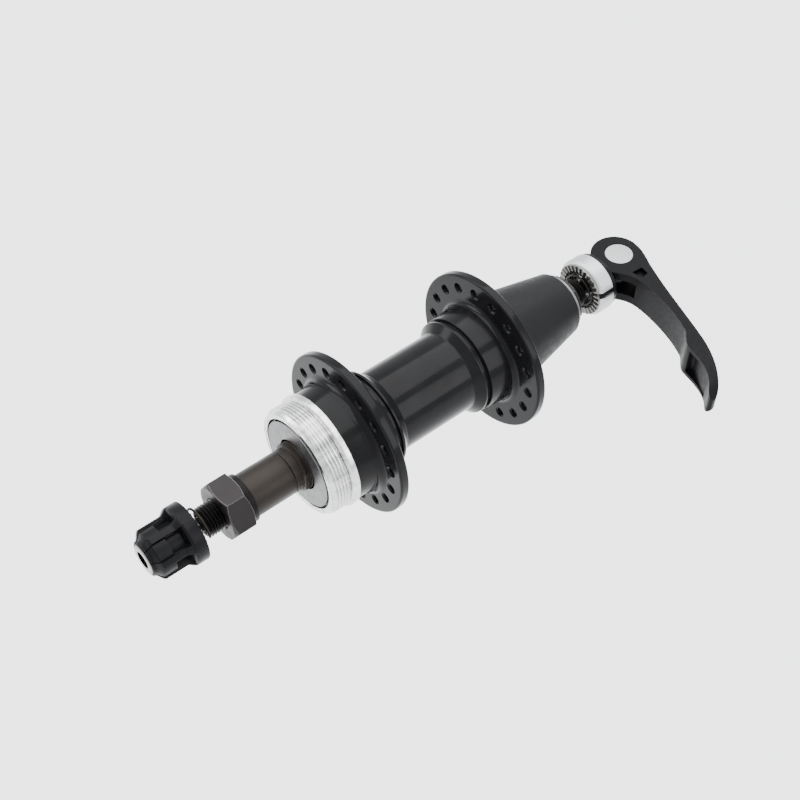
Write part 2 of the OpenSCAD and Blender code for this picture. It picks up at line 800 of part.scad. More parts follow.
module adjusting_nut() {
    color("#26272a")
        difference() {
            union() {
                turned([
                    [nut_recess_r, nut_face_y], [nut_flange_r - nut_edge, nut_face_y],
                    [nut_flange_r, nut_face_y - nut_edge], [nut_flange_r, nut_face_y - nut_flange_t],
                    [nut_block_r, nut_face_y - nut_flange_t - nut_flange_fall],
                    [nut_block_r, nut_taper_y],
                    [nut_taper_r - nut_lip_w, nut_end_y], [nut_insert_r + seat_gap, nut_end_y],
                    [nut_insert_r + seat_gap, nut_recess_y], [nut_recess_r, nut_recess_y]
                ]);
                for (i = [0:nut_ribs - 1])
                    rotate([0, -rib_first_turn - 360 * i / nut_ribs, 0])
                        nut_rib();
            }
            for (i = [0:nut_ribs - 1])
                rotate([0, -rib_first_turn - 360 * (i + 0.5) / nut_ribs, 0])
                    translate([nut_pocket_r, nut_step_y - nut_pocket_l + nut_pocket_in, -nut_pocket_w / 2])
                        cube([nut_pocket_cut, nut_pocket_l, nut_pocket_w]);
            rod_y(nut_face_y - nut_bite_t, nut_bite_t + eps, nut_bite_r + seat_gap);
        }
}

// One rib of the nut: it rises from the outer end to the flange
module nut_rib() {
    translate([0, 0, -rib_w / 2])
        linear_extrude(rib_w)
            polygon([
                [nut_insert_r + rib_root, nut_end_y + rib_end_in], [nut_taper_r, nut_end_y + rib_end_in],
                [nut_rib_r, nut_taper_y], [nut_rib_r, nut_step_y + rib_top_l],
                [nut_flange_r - rib_flange_in, nut_face_y - nut_flange_t + rib_foot],
                [nut_recess_r + rib_foot, nut_face_y - nut_flange_t + rib_foot],
                [nut_recess_r + rib_foot, nut_recess_y - rib_foot],
                [nut_insert_r + rib_root, nut_recess_y - 2 * rib_root]
            ]);
}

module nut_insert() {
    color("#c3bfb4")
        turned([
            [rod_r + pin_gap, nut_insert_y], [nut_insert_r, nut_insert_y],
            [nut_insert_r, nut_insert_end_y + nut_insert_edge],
            [nut_insert_r - nut_insert_edge, nut_insert_end_y],
            [rod_r + nut_thread_edge, nut_insert_end_y],
            [rod_r + pin_gap, nut_insert_end_y + nut_thread_edge]
        ]);
}

module nut_bite_ring() {
    color("#8d8f92")
        difference() {
            spacer(nut_face_y - nut_bite_t + seat_gap, nut_bite_front_y, nut_recess_r, nut_bite_r,
                nut_bite_edge);
            tooth_gaps(nut_recess_r, nut_bite_r, nut_bite_front_y - tooth_d);
        }
}

hub_shell();
threaded_boss();
drive_bearing_cup();
left_bearing_cup();
drive_bearing_balls();
left_bearing_balls();
drive_dust_cap();
left_dust_cap();
hollow_axle();
drive_cone();
left_cone();
drive_spacer();
left_spacer();
drive_lock_washer();
left_lock_washer();
drive_locknut();
left_locknut();
left_boot();
skewer_rod();
pivot_pin();
qr_lever();
cam_housing();
cam_saddle();
housing_bite_ring();
lever_side_spring();
nut_side_spring();
adjusting_nut();
nut_insert();
nut_bite_ring();
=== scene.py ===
"""Looks of a threaded rear bicycle hub with a quick-release skewer.

Sizes are in millimetres until a mesh is made. The axle lies along Y with the freewheel side at -Y,
the closed lever points along +X, and +Z is up.
"""

import json
import math

import bmesh
import bpy
import numpy as np
from mathutils import Matrix, Vector


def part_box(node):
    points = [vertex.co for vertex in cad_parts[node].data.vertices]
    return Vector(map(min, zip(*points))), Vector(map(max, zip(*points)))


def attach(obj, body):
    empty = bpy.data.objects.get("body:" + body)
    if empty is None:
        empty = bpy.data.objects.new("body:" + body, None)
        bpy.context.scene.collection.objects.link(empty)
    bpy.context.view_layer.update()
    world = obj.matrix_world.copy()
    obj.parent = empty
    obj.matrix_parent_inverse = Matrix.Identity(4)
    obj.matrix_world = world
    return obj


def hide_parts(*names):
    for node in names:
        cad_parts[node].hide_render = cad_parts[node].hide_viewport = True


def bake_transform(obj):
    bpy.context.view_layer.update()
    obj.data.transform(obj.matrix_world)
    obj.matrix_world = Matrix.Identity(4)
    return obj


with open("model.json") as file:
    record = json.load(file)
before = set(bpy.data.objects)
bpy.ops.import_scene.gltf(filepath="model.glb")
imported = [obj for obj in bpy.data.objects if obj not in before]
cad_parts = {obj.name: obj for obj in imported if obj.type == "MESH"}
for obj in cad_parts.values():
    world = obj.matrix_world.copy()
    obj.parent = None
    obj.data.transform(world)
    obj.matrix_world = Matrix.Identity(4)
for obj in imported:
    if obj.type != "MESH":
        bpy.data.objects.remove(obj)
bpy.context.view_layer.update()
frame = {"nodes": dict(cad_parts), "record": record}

MM = 0.001
TAU = 2 * math.pi


# ---------------------------------------------------------------- places, from the frame

def span(node):
    """Lowest and highest corner of a CAD node, in millimetres."""
    low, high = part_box(node)
    return low / MM, high / MM


shell_lo, shell_hi = span("hub_shell")
boss_lo, boss_hi = span("threaded_boss")
axle_lo, axle_hi = span("hollow_axle")
boot_lo, boot_hi = span("left_boot")
nut_lo, nut_hi = span("adjusting_nut")
housing_lo, housing_hi = span("cam_housing")
pin_lo, pin_hi = span("pivot_pin")
lever_lo, lever_hi = span("qr_lever")

PIVOT = Vector(((pin_lo.x + pin_hi.x) / 2, (pin_lo.y + pin_hi.y) / 2, 0))
LEVER_T = lever_hi.z - lever_lo.z
AXLE_R = axle_hi.x
DRIVE_FLANGE_Y = -22.65
LEFT_FLANGE_Y = 33.45
FLANGE_T = 3.0
FLANGE_R = shell_hi.x - 0.015
SPOKE_CIRCLE_R = 22.0
SPOKE_HOLE_R = 1.3
SPOKE_COUNT = 18


# ---------------------------------------------------------------- mesh tools

def make_object(name, verts, faces, crease=32):
    """A mesh object from points in millimetres, smooth except at edges sharper than crease."""
    mesh = bpy.data.meshes.new(name)
    mesh.from_pydata([tuple(c * MM for c in v) for v in verts], [], faces)
    work = bmesh.new()
    work.from_mesh(mesh)
    bmesh.ops.remove_doubles(work, verts=work.verts, dist=1e-7)
    bmesh.ops.recalc_face_normals(work, faces=work.faces)
    work.to_mesh(mesh)
    work.free()
    obj = bpy.data.objects.new(name, mesh)
    bpy.context.scene.collection.objects.link(obj)
    shade(obj, crease)
    return obj


def shade(obj, crease=32):
    """Smooth shading that stays sharp where two faces meet at more than crease degrees."""
    mesh = obj.data
    mesh.polygons.foreach_set("use_smooth", [True] * len(mesh.polygons))
    mesh.set_sharp_from_angle(angle=math.radians(crease))
    mesh.update()


def soften(points, radius=0.2, steps=4, closed=True):
    """Rounds the corners of an outline. A point may carry its own radius as a third number."""
    out = []
    count = len(points)
    for i, p in enumerate(points):
        here = np.array(p[:2], float)
        r = p[2] if len(p) > 2 else radius
        if not closed and i in (0, count - 1) or r <= 0:
            out.append(tuple(here))
            continue
        before = np.array(points[i - 1][:2], float)
        after = np.array(points[(i + 1) % count][:2], float)
        a, b = before - here, after - here
        la, lb = np.linalg.norm(a), np.linalg.norm(b)
        if la < 1e-6 or lb < 1e-6:
            continue
        cosine = float(np.clip(a @ b / la / lb, -1, 1))
        half = math.acos(cosine) / 2
        if half > math.radians(88):
            out.append(tuple(here))
            continue
        cut = min(r / math.tan(half), 0.46 * la, 0.46 * lb)
        start, end = here + a / la * cut, here + b / lb * cut
        for k in range(steps + 1):
            t = k / steps
            out.append(tuple((1 - t) ** 2 * start + 2 * t * (1 - t) * here + t * t * end))
    return out


def revolve(name, profile, segments=256, closed=True, crease=32, axis="Y"):
    """Turns rows of (radius, place) about an axis. Either may be an array, one value for each angle."""
    turn = np.arange(segments) * TAU / segments
    rows = []
    for r, y in profile:
        r = np.broadcast_to(np.asarray(r, float), (segments,))
        y = np.broadcast_to(np.asarray(y, float), (segments,))
        if axis == "Y":
            rows.append(np.stack([r * np.cos(turn), y, r * np.sin(turn)], 1))
        else:
            rows.append(np.stack([r * np.cos(turn), r * np.sin(turn), y], 1))
    verts = np.concatenate(rows)
    count = len(rows)
    faces = []
    for i in range(count if closed else count - 1):
        a, b = i * segments, (i + 1) % count * segments
        for j in range(segments):
            k = (j + 1) % segments
            faces.append((a + j, b + j, b + k, a + k))
    return make_object(name, verts, faces, crease)


def smooth_step(x, low, high):
    t = np.clip((x - low) / (high - low), 0, 1)
    return t * t * (3 - 2 * t)


def vee(t, crest=0.14):
    """Depth share of a thread, 0 on the flat crest and 1 at the root, once for each whole number."""
    wave = np.abs(2 * (t % 1.0) - 1)
    return np.clip((wave - crest) / (0.94 - crest), 0, 1)


def thread_rows(y0, y1, crest_r, depth, pitch, segments, ends=(0.7, 0.7), per_pitch=12, crest=0.14):
    """Rows of a right-hand thread from y0 up to y1 whose two ends are chamfered."""
    turn = np.arange(segments) / segments
    rows = []
    count = int(round(abs(y1 - y0) / pitch * per_pitch))
    for i in range(count + 1):
        y = y0 + (y1 - y0) * i / count
        inset = min(abs(y - y0) / max(ends[0], 1e-6), abs(y - y1) / max(ends[1], 1e-6), 1)
        top = crest_r - (1 - inset) * depth * 1.15
        cut = crest_r - depth * vee(y / pitch + turn, crest)
        rows.append((np.minimum(top, cut), y))
    return rows


def boolean(obj, cutter, operation="DIFFERENCE"):
    """Cuts obj with cutter, which is then removed."""
    mod = obj.modifiers.new("cut", "BOOLEAN")
    mod.operation = operation
    mod.object = cutter
    mod.solver = "MANIFOLD"
    bake(obj)
    bpy.data.objects.remove(cutter)
    return obj


def bake(obj):
    """Replaces the mesh with what its modifiers make of it."""
    graph = bpy.context.evaluated_depsgraph_get()
    graph.update()
    mesh = bpy.data.meshes.new_from_object(obj.evaluated_get(graph))
    obj.modifiers.clear()
    obj.data = mesh


def bevel(obj, width, segments=3, angle=30):
    """Rounds the edges that are sharper than angle and keeps the big faces flat-shaded."""
    mod = obj.modifiers.new("edges", "BEVEL")
    mod.width = width * MM
    mod.segments = segments
    mod.limit_method = "ANGLE"
    mod.angle_limit = math.radians(angle)
    mod.use_clamp_overlap = True
    bake(obj)
    shade(obj, 40)
    mod = obj.modifiers.new("normals", "WEIGHTED_NORMAL")
    mod.keep_sharp = True
    mod.weight = 80
    bake(obj)


def join(objects):
    """Joins objects into the first of them."""
    work = bmesh.new()
    for o in objects:
        o.data.transform(o.matrix_world)
        work.from_mesh(o.data)
    first = objects[0]
    work.to_mesh(first.data)
    work.free()
    first.matrix_world = Matrix.Identity(4)
    for o in objects[1:]:
        bpy.data.objects.remove(o)
    return first


def prism(name, outline, z0, z1, plane="XY"):
    """An outline swept from z0 to z1 across its plane, in millimetres."""
    count = len(outline)
    if plane == "XY":
        verts = [(x, y, z) for z in (z0, z1) for x, y in outline]
    else:
        verts = [(x, z, y) for z in (z0, z1) for x, y in outline]
    faces = [tuple(range(count)), tuple(range(2 * count - 1, count - 1, -1))]
    faces += [(i, (i + 1) % count, count + (i + 1) % count, count + i) for i in range(count)]
    return make_object(name, verts, faces)


def place(obj, body, node, material):
    """Lets a piece stand for a CAD node and ride on its body."""
    obj.data.materials.clear()
    obj.data.materials.append(material)
    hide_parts(node)
    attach(obj, body)
    return obj


# ---------------------------------------------------------------- material tools

class Graph:
    """A short way to write a node material."""

    def __init__(self, name):
        self.material = bpy.data.materials.new(name)
        self.material.use_nodes = True
        self.nodes = self.material.node_tree.nodes
        self.links = self.material.node_tree.links
        self.shader = self.nodes["Principled BSDF"]
        self.coords = self.nodes.new("ShaderNodeTexCoord").outputs["Object"]

    def set(self, **values):
        for key, value in values.items():
            self.shader.inputs[key.replace("_", " ")].default_value = value

    def link(self, out, name):
        self.links.new(out, self.shader.inputs[name])

    def scaled(self, x, y, z, vector=None):
        node = self.nodes.new("ShaderNodeMapping")
        node.inputs["Scale"].default_value = (x, y, z)
        self.links.new(vector or self.coords, node.inputs["Vector"])
        return node.outputs["Vector"]

    def math(self, kind, a, b=None):
        node = self.nodes.new("ShaderNodeMath")
        node.operation = kind
        for socket, value in zip(node.inputs, (a, b)):
            if isinstance(value, (int, float)):
                socket.default_value = value
            elif value is not None:
                self.links.new(value, socket)
        return node.outputs[0]

    def polar(self):
        """Distance from the axle's centre line, and place along it."""
        split = self.nodes.new("ShaderNodeSeparateXYZ")
        self.links.new(self.coords, split.inputs[0])
        square = self.math("ADD", self.math("MULTIPLY", split.outputs[0], split.outputs[0]),
                           self.math("MULTIPLY", split.outputs[2], split.outputs[2]))
        return self.math("SQRT", square), split.outputs[1]

    def turned(self):
        """Coordinates of (radius, place along the axle), in which tool marks are rings."""
        both = self.nodes.new("ShaderNodeCombineXYZ")
        for value, socket in zip(self.polar(), both.inputs):
            self.links.new(value, socket)
        return both.outputs[0]

    def noise(self, scale, detail=3.0, rough=0.55, vector=None):
        node = self.nodes.new("ShaderNodeTexNoise")
        node.inputs["Scale"].default_value = scale
        node.inputs["Detail"].default_value = detail
        node.inputs["Roughness"].default_value = rough
        self.links.new(vector or self.coords, node.inputs["Vector"])
        return node.outputs["Fac"]

    def cells(self, scale, vector=None):
        node = self.nodes.new("ShaderNodeTexVoronoi")
        node.inputs["Scale"].default_value = scale
        self.links.new(vector or self.coords, node.inputs["Vector"])
        return node.outputs["Distance"]

    def ramp(self, value, *stops):
        """stops are (place, colour or grey) pairs."""
        node = self.nodes.new("ShaderNodeValToRGB")
        elements = node.color_ramp.elements
        while len(elements) < len(stops):
            elements.new(0.5)
        for element, (spot, tone) in zip(elements, stops):
            element.position = spot
            colour = (tone, tone, tone) if isinstance(tone, (int, float)) else tone
            element.color = (*colour, 1)
        self.links.new(value, node.inputs["Fac"])
        return node.outputs["Color"]

    def mix(self, share, a, b):
        node = self.nodes.new("ShaderNodeMix")
        node.data_type = "RGBA"
        self.links.new(share, node.inputs["Factor"])
        for key, value in (("A", a), ("B", b)):
            socket = [s for s in node.inputs if s.name == key and s.type == "RGBA"][0]
            if isinstance(value, tuple):
                socket.default_value = (*value, 1)
            else:
                self.links.new(value, socket)
        return [s for s in node.outputs if s.type == "RGBA"][0]

    def edges(self, radius=0.18, low=0.02, high=0.22):
        """1 on edges, where a normal rounded over radius millimetres leaves the true one, and 0 elsewhere.
        The materials mix a lighter colour in with it as a painted highlight along edges.
        """
        rounded = self.nodes.new("ShaderNodeBevel")
        rounded.samples = 6
        rounded.inputs["Radius"].default_value = radius * MM
        geometry = self.nodes.new("ShaderNodeNewGeometry")
        dot = self.nodes.new("ShaderNodeVectorMath")
        dot.operation = "DOT_PRODUCT"
        self.links.new(rounded.outputs["Normal"], dot.inputs[0])
        self.links.new(geometry.outputs["Normal"], dot.inputs[1])
        return self.ramp(self.math("SUBTRACT", 1.0, dot.outputs["Value"]), (low, 0.0), (high, 1.0))

    def bump(self, *layers):
        """layers are (height, strength, distance in millimetres) and lie on top of each other."""
        normal = None
        for height, strength, distance in layers:
            node = self.nodes.new("ShaderNodeBump")
            node.inputs["Strength"].default_value = strength
            node.inputs["Distance"].default_value = distance * MM
            self.links.new(height, node.inputs["Height"])
            if normal:
                self.links.new(normal, node.inputs["Normal"])
            normal = node.outputs["Normal"]
        self.link(normal, "Normal")


def gloss_black():
    """Black anodised and lacquered aluminium of the shell."""
    g = Graph("shell_gloss_black")
    turned = g.turned()
    marks = g.noise(2600, 2, 0.5, g.scaled(1, 1, 0, turned))
    cloud = g.noise(90, 4)
    tone = g.ramp(cloud, (0.35, (0.0042, 0.0042, 0.0046)), (0.7, (0.0066, 0.0066, 0.0072)))
    # Painted highlight: the shell's edges are mixed towards a lighter grey.
    g.link(g.mix(g.edges(), tone, (0.024, 0.024, 0.025)), "Base Color")
    g.link(g.ramp(g.noise(240, 5), (0.3, 0.12), (0.75, 0.22)), "Roughness")
    g.set(Metallic=0.0, Coat_Weight=0.02, Coat_Roughness=0.06, IOR=1.35, Specular_IOR_Level=0.13)
    g.bump((marks, 0.10, 0.02), (g.noise(1500, 2), 0.05, 0.02))
    return g.material


def bright_turned(name, dark, light, roughness=(0.2, 0.36), marks=0.35, painted_reflection_streaks=0.0, bore=0.0):
    """Bare metal with fine tool marks.

    A nonzero streak strength paints darker bands along the axle as a painted reflection, and inside a radius
    of bore millimetres the colour is painted near-black shade.
    """
    g = Graph(name)
    turned = g.turned()
    rings = g.noise(3200, 3, 0.6, turned)
    stain = g.noise(130, 5)
    tone = g.mix(rings, dark, light)
    tone = g.mix(g.ramp(stain, (0.35, 0.35), (0.7, 0.0)), tone, tuple(0.72 * c for c in light))
    rough = g.ramp(g.noise(420, 4), (0.3, roughness[0]), (0.7, roughness[1]))
    # Painted reflection: darker bands stretched along the axle.
    if painted_reflection_streaks:
        reflection_streak = g.ramp(g.noise(620, 4, 0.6, g.scaled(1, 0.06, 1)), (0.42, 0.0), (0.62, painted_reflection_streaks))
        tone = g.mix(reflection_streak, tone, tuple(0.42 * c for c in dark))
    # Painted shade: near black inside the bore radius, where the hole lies in shadow.
    if bore:
        tone = g.mix(g.math("LESS_THAN", g.polar()[0], bore * MM), tone, (0.003, 0.003, 0.003))
    g.link(tone, "Base Color")
    g.link(rough, "Roughness")
    g.set(Metallic=1.0)
    g.bump((rings, marks, 0.02), (g.noise(5200, 2), 0.1, 0.01))
    return g.material


def phosphate(name, dark, light, edge, roughness=(0.34, 0.5), painted_highlight_edge=(0.18, 0.02, 0.22)):
    """Brown-black phosphated steel with painted highlights on its edges."""
    g = Graph(name)
    turned = g.turned()
    rings = g.noise(1500, 3, 0.6, turned)
    grain = g.noise(3800, 3, 0.7)
    cloud = g.noise(210, 5, 0.6)
    tone = g.mix(cloud, dark, light)
    # Painted highlight: edges are mixed towards the light edge colour.
    g.link(g.mix(g.edges(*painted_highlight_edge), tone, edge), "Base Color")
    g.link(g.ramp(cloud, (0.3, roughness[0]), (0.7, roughness[1])), "Roughness")
    g.set(Metallic=0.7, Specular_IOR_Level=0.2)
    g.bump((rings, 0.25, 0.02), (grain, 0.22, 0.015))
    return g.material


def moulded(name, dark, light, roughness=(0.42, 0.55), grain=0.25, scale=2600):
    """Moulded plastic with a fine matte grain."""
    g = Graph(name)
    cloud = g.noise(70, 4)
    g.link(g.mix(cloud, dark, light), "Base Color")
    g.link(g.ramp(g.noise(500, 4), (0.3, roughness[0]), (0.7, roughness[1])), "Roughness")
    g.set(Metallic=0.0, IOR=1.33, Specular_IOR_Level=0.25)
    g.bump((g.noise(scale, 3, 0.65), grain, 0.02), (g.cells(scale * 0.6), grain * 0.4, 0.01))
    return g.material


def satin_paint(name, dark, light, edge, roughness=(0.36, 0.5), peel=0.16):
    """Satin powder coat with a faint orange peel and painted highlights on its edges."""
    g = Graph(name)
    cloud = g.noise(110, 4)
    tone = g.mix(cloud, dark, light)
    # Painted highlight: edges are mixed towards the light edge colour.
    g.link(g.mix(g.edges(), tone, edge), "Base Color")
    g.link(g.ramp(g.noise(700, 4), (0.3, roughness[0]), (0.7, roughness[1])), "Roughness")
    g.set(Metallic=0.0, IOR=1.33, Specular_IOR_Level=0.15)
    g.bump((g.noise(1300, 2), peel, 0.03), (g.noise(6000, 2), peel * 0.6, 0.01))
    return g.material


MATERIALS = {
    "shell_black": gloss_black(),
    # Boss: the darker bands along the axle are a painted reflection.
    "boss_bright": bright_turned("boss_bright_turned", (0.62, 0.62, 0.62), (0.74, 0.74, 0.74), (0.2, 0.3),
                                 marks=0.08, painted_reflection_streaks=0.55),
    "race_steel": bright_turned("race_ground_steel", (0.12, 0.125, 0.13), (0.2, 0.205, 0.21), (0.2, 0.3)),
    "ball_steel": bright_turned("ball_polished_steel", (0.4, 0.41, 0.43), (0.5, 0.51, 0.53), (0.06, 0.12),
                                marks=0.02),
    "cap_metal": bright_turned("cap_pressed_metal", (0.13, 0.13, 0.133), (0.2, 0.2, 0.203), (0.36, 0.5),
                               marks=0.2),
    # The third colour of each phosphated material is its painted edge highlight.
    "dark_steel": phosphate("dark_phosphate", (0.0022, 0.0019, 0.0017), (0.0055, 0.0048, 0.0043),
                            (0.014, 0.0125, 0.0115)),
    "spacer_steel": phosphate("spacer_phosphate", (0.0125, 0.0104, 0.009), (0.021, 0.0177, 0.0154),
                              (0.07, 0.062, 0.057)),
    "nut_steel": phosphate("locknut_phosphate", (0.0135, 0.0118, 0.0122), (0.0205, 0.0182, 0.0188),
                           (0.3, 0.29, 0.285), painted_highlight_edge=(0.34, 0.012, 0.09)),
    "boot_plastic": moulded("boot_matte_plastic", (0.004, 0.004, 0.0045), (0.0062, 0.0062, 0.007)),
    # Rod: its colour is darkened to near black as painted shade inside the holes it runs through.
    "rod_steel": bright_turned("rod_steel_dark_as_painted_shade", (0.028, 0.028, 0.029), (0.05, 0.05, 0.0515), (0.34, 0.46)),
    "pin_metal": bright_turned("pin_matte_metal", (0.33, 0.334, 0.34), (0.39, 0.395, 0.4), (0.45, 0.55),
                               marks=0.1),
    # The third colour of each satin paint is its painted edge highlight.
    "lever_black": satin_paint("lever_satin_black", (0.0012, 0.0012, 0.0016), (0.0024, 0.0024, 0.003),
                               (0.012, 0.012, 0.0135)),
    "housing_metal": bright_turned("housing_satin_silver", (0.45, 0.465, 0.475), (0.53, 0.545, 0.555),
                                   (0.4, 0.52), marks=0.12),
    "saddle_plastic": moulded("saddle_black_plastic", (0.002, 0.002, 0.0022), (0.0035, 0.0035, 0.0038),
                              (0.3, 0.42), 0.15),
    "bite_steel": bright_turned("bite_serrated_steel", (0.12, 0.118, 0.112), (0.22, 0.216, 0.208),
                                (0.32, 0.46), marks=0.25),
    "spring_steel": phosphate("spring_dark_wire", (0.012, 0.0098, 0.008), (0.025, 0.021, 0.0175),
                              (0.14, 0.12, 0.1)),
    "nut_black": satin_paint("nut_satin_black", (0.0022, 0.0022, 0.0026), (0.004, 0.004, 0.0046),
                             (0.022, 0.022, 0.024), (0.3, 0.42)),
    # Insert: near black inside its hole is painted shade.
    "insert_metal": bright_turned("insert_plated_metal", (0.26, 0.25, 0.225), (0.38, 0.365, 0.33),
                                  (0.26, 0.38), bore=2.75),
}
SLOTS = {row["node"]: row["material_slot"] for row in frame["record"]["subparts"]}
BODY = {node: body for body, nodes in frame["record"]["behaviour"]["bodies"].items() for node in nodes}


def dress(obj, node, look=None):
    """Gives a new piece the body, slot and material of the CAD node it stands for."""
    return place(obj, BODY[node], node, look or MATERIALS[SLOTS[node]])


# ---------------------------------------------------------------- shell and boss

def fillet(r0, r1, y0, y1, steps=10):
    """Concave quarter curve from a shoulder at radius r0 to a face at place y1."""
    turns = [math.pi / 2 * i / steps for i in range(steps + 1)]
    return [(r1 - (r1 - r0) * math.cos(t), y0 + (y1 - y0) * math.sin(t), 0) for t in turns]


def spoke_drill(face_y, turn):
    """A spoke hole with a countersink on both faces of a flange."""
    sink = 0.5
    over = 0.6
    outline = [(0, face_y - over), (SPOKE_HOLE_R + sink + over, face_y - over), (SPOKE_HOLE_R, face_y + sink),
               (SPOKE_HOLE_R, face_y + FLANGE_T - sink),
               (SPOKE_HOLE_R + sink + over, face_y + FLANGE_T + over), (0, face_y + FLANGE_T + over)]
    drill = revolve("drill", outline, 40, closed=False)
    drill.data.transform(Matrix.Translation((SPOKE_CIRCLE_R * MM * math.cos(turn), 0,
                                             SPOKE_CIRCLE_R * MM * math.sin(turn))))
    return drill


def hub_shell():
    left_y, drive_y = LEFT_FLANGE_Y, DRIVE_FLANGE_Y
    left_in, drive_in = left_y - FLANGE_T, drive_y + FLANGE_T
    rim = 0.75
    outline = [
        (14.42, shell_lo.y, 0.1), (15.7, shell_lo.y, 0.1), (15.7, -30.55, 0), (17.4, -30.55, 0.25),
        (18.2, -25.3, 0.3), *fillet(18.25, 20.2, -25.2, drive_y), (20.5, drive_y, 0),
        (FLANGE_R, drive_y, rim), (FLANGE_R, drive_in, rim), (18.6, drive_in, 0),
        *reversed(fillet(16.6, 18.4, drive_in + 2.0, drive_in)),
        (15.9, -14.2, 0.25), (14.7, -14.2, 0.12), (14.7, -12.8, 0.12),
        (15.65, -12.8, 0.2), (15.65, -12.0, 0.2), (13.15, -9.3, 0.9),
        (13.15, 17.1, 0.9), (15.65, 19.4, 0.2), (15.65, 20.2, 0.2), (14.7, 20.2, 0.12), (14.7, 21.6, 0.12),
        (15.9, 21.6, 0.25), *fillet(16.6, 18.4, left_in - 2.0, left_in), (18.6, left_in, 0),
        (FLANGE_R, left_in, rim), (FLANGE_R, left_y, rim), (16.2, left_y, 0.1), (16.2, shell_hi.y, 0.2),
        (14.42, shell_hi.y, 0.1), (14.42, 23.4, 0), (10.2, 23.4, 0), (10.2, -28.3, 0), (14.42, -28.3, 0),
    ]
    shell = revolve("hub_shell_turned", soften(outline, 0.2, 5), 320)
    drills = []
    for i in range(SPOKE_COUNT):
        turn = TAU * i / SPOKE_COUNT
        drills.append(spoke_drill(left_in, turn))
        drills.append(spoke_drill(drive_y, turn + TAU / SPOKE_COUNT / 2))
    boolean(shell, join(drills))
    shade(shell, 30)
    mod = shell.modifiers.new("normals", "WEIGHTED_NORMAL")
    mod.keep_sharp = True
    bake(shell)
    return dress(shell, "hub_shell")


def threaded_boss():
    """Sleeve with a rounded nose, the freewheel thread and a smooth stop band behind it."""
    segments = 360
    crest, depth, pitch = 17.46, 0.62, 25.4 / 24
    front, rear = boss_lo.y, boss_hi.y
    seat_r, seat_y, lip_r, nose_r = 15.72, -37.92, 14.9, 16.45
    thread_front, thread_rear = front + 0.7, -33.3
    band_front_r, band_r = 18.3, 18.46
    lip = soften([(seat_r, seat_y, 0), (lip_r, seat_y, 0.1), (lip_r, front, 0.25), (nose_r, front, 0.4)],
                 0.2, 5, False)
    thread = thread_rows(thread_front, thread_rear, crest, depth, pitch, segments, (0.9, 0.3), 16, 0.3)
    band = soften([(17.0, thread_rear, 0), (17.3, -33.15, 0.1), (band_front_r, -32.6, 0.5),
                   (band_r, rear, 0.6), (seat_r, rear, 0.1)], 0.2, 6, False)
    boss = revolve("threaded_boss_cut", [*lip, *thread, *band], segments, crease=50)
    return dress(boss, "threaded_boss")


# ---------------------------------------------------------------- axle parts

def hollow_axle():
    segments = 180
    pitch, depth = 25.4 / 26, 0.55
    bore = 2.8
    end = axle_hi.y
    profile = [(bore, -end + 0.5), (bore + 0.5, -end), (AXLE_R - 0.9, -end)]
    profile += thread_rows(-end, -58.0, AXLE_R, depth, pitch, segments, (0.9, 0.3))
    profile += [(AXLE_R - 0.7, -57.5), (AXLE_R - 0.7, 58.0)]
    profile += thread_rows(58.5, end, AXLE_R, depth, pitch, segments, (0.3, 0.9))
    profile += [(AXLE_R - 0.9, end), (bore + 0.5, end), (bore, end - 0.5)]
    return dress(revolve("hollow_axle_threaded", profile, segments, crease=60), "hollow_axle")


def spacer_tube(node, outer, edge=0.3):
    low, high = span(node)
    inner = AXLE_R + 0.02
    outline = [(inner, low.y, 0), (outer, low.y, edge), (outer, high.y, edge), (inner, high.y, 0)]
    return dress(revolve(node + "_turned", soften(outline, edge, 4), 192), node)


def locknut(node, flats, corner_turn=math.radians(58)):
    """A hexagon nut with rounded corners, cone-cut ends and a countersunk bore."""
    low, high = span(node)
    corner_r = flats / 2 / math.cos(math.pi / 6)
    turns = [corner_turn + TAU * i / 6 for i in range(6)]
    corners = [(corner_r * math.cos(t), corner_r * math.sin(t), 0.3) for t in turns]
    nut = prism(node + "_hex", soften(corners, 0.3, 4), low.y, high.y, plane="XZ")
    face, outer = flats / 2 - 0.15, corner_r + 0.3
    rise = (outer - face) * math.tan(math.radians(30))
    ends = revolve("ends", [(0, low.y), (face, low.y), (outer, low.y + rise), (outer, high.y - rise),
                            (face, high.y), (0, high.y)], 192, closed=False)
    boolean(nut, ends, "INTERSECT")
    bore, sink = AXLE_R + 0.02, 0.45
    mouth = bore + sink + 1
    hole = revolve("hole", [(0, low.y - 1), (mouth, low.y - 1), (bore, low.y + sink), (bore, high.y - sink),
                            (mouth, high.y + 1), (0, high.y + 1)], 96, closed=False)
    boolean(nut, hole)
    bevel(nut, 0.12, 2, 25)
    return dress(nut, node)


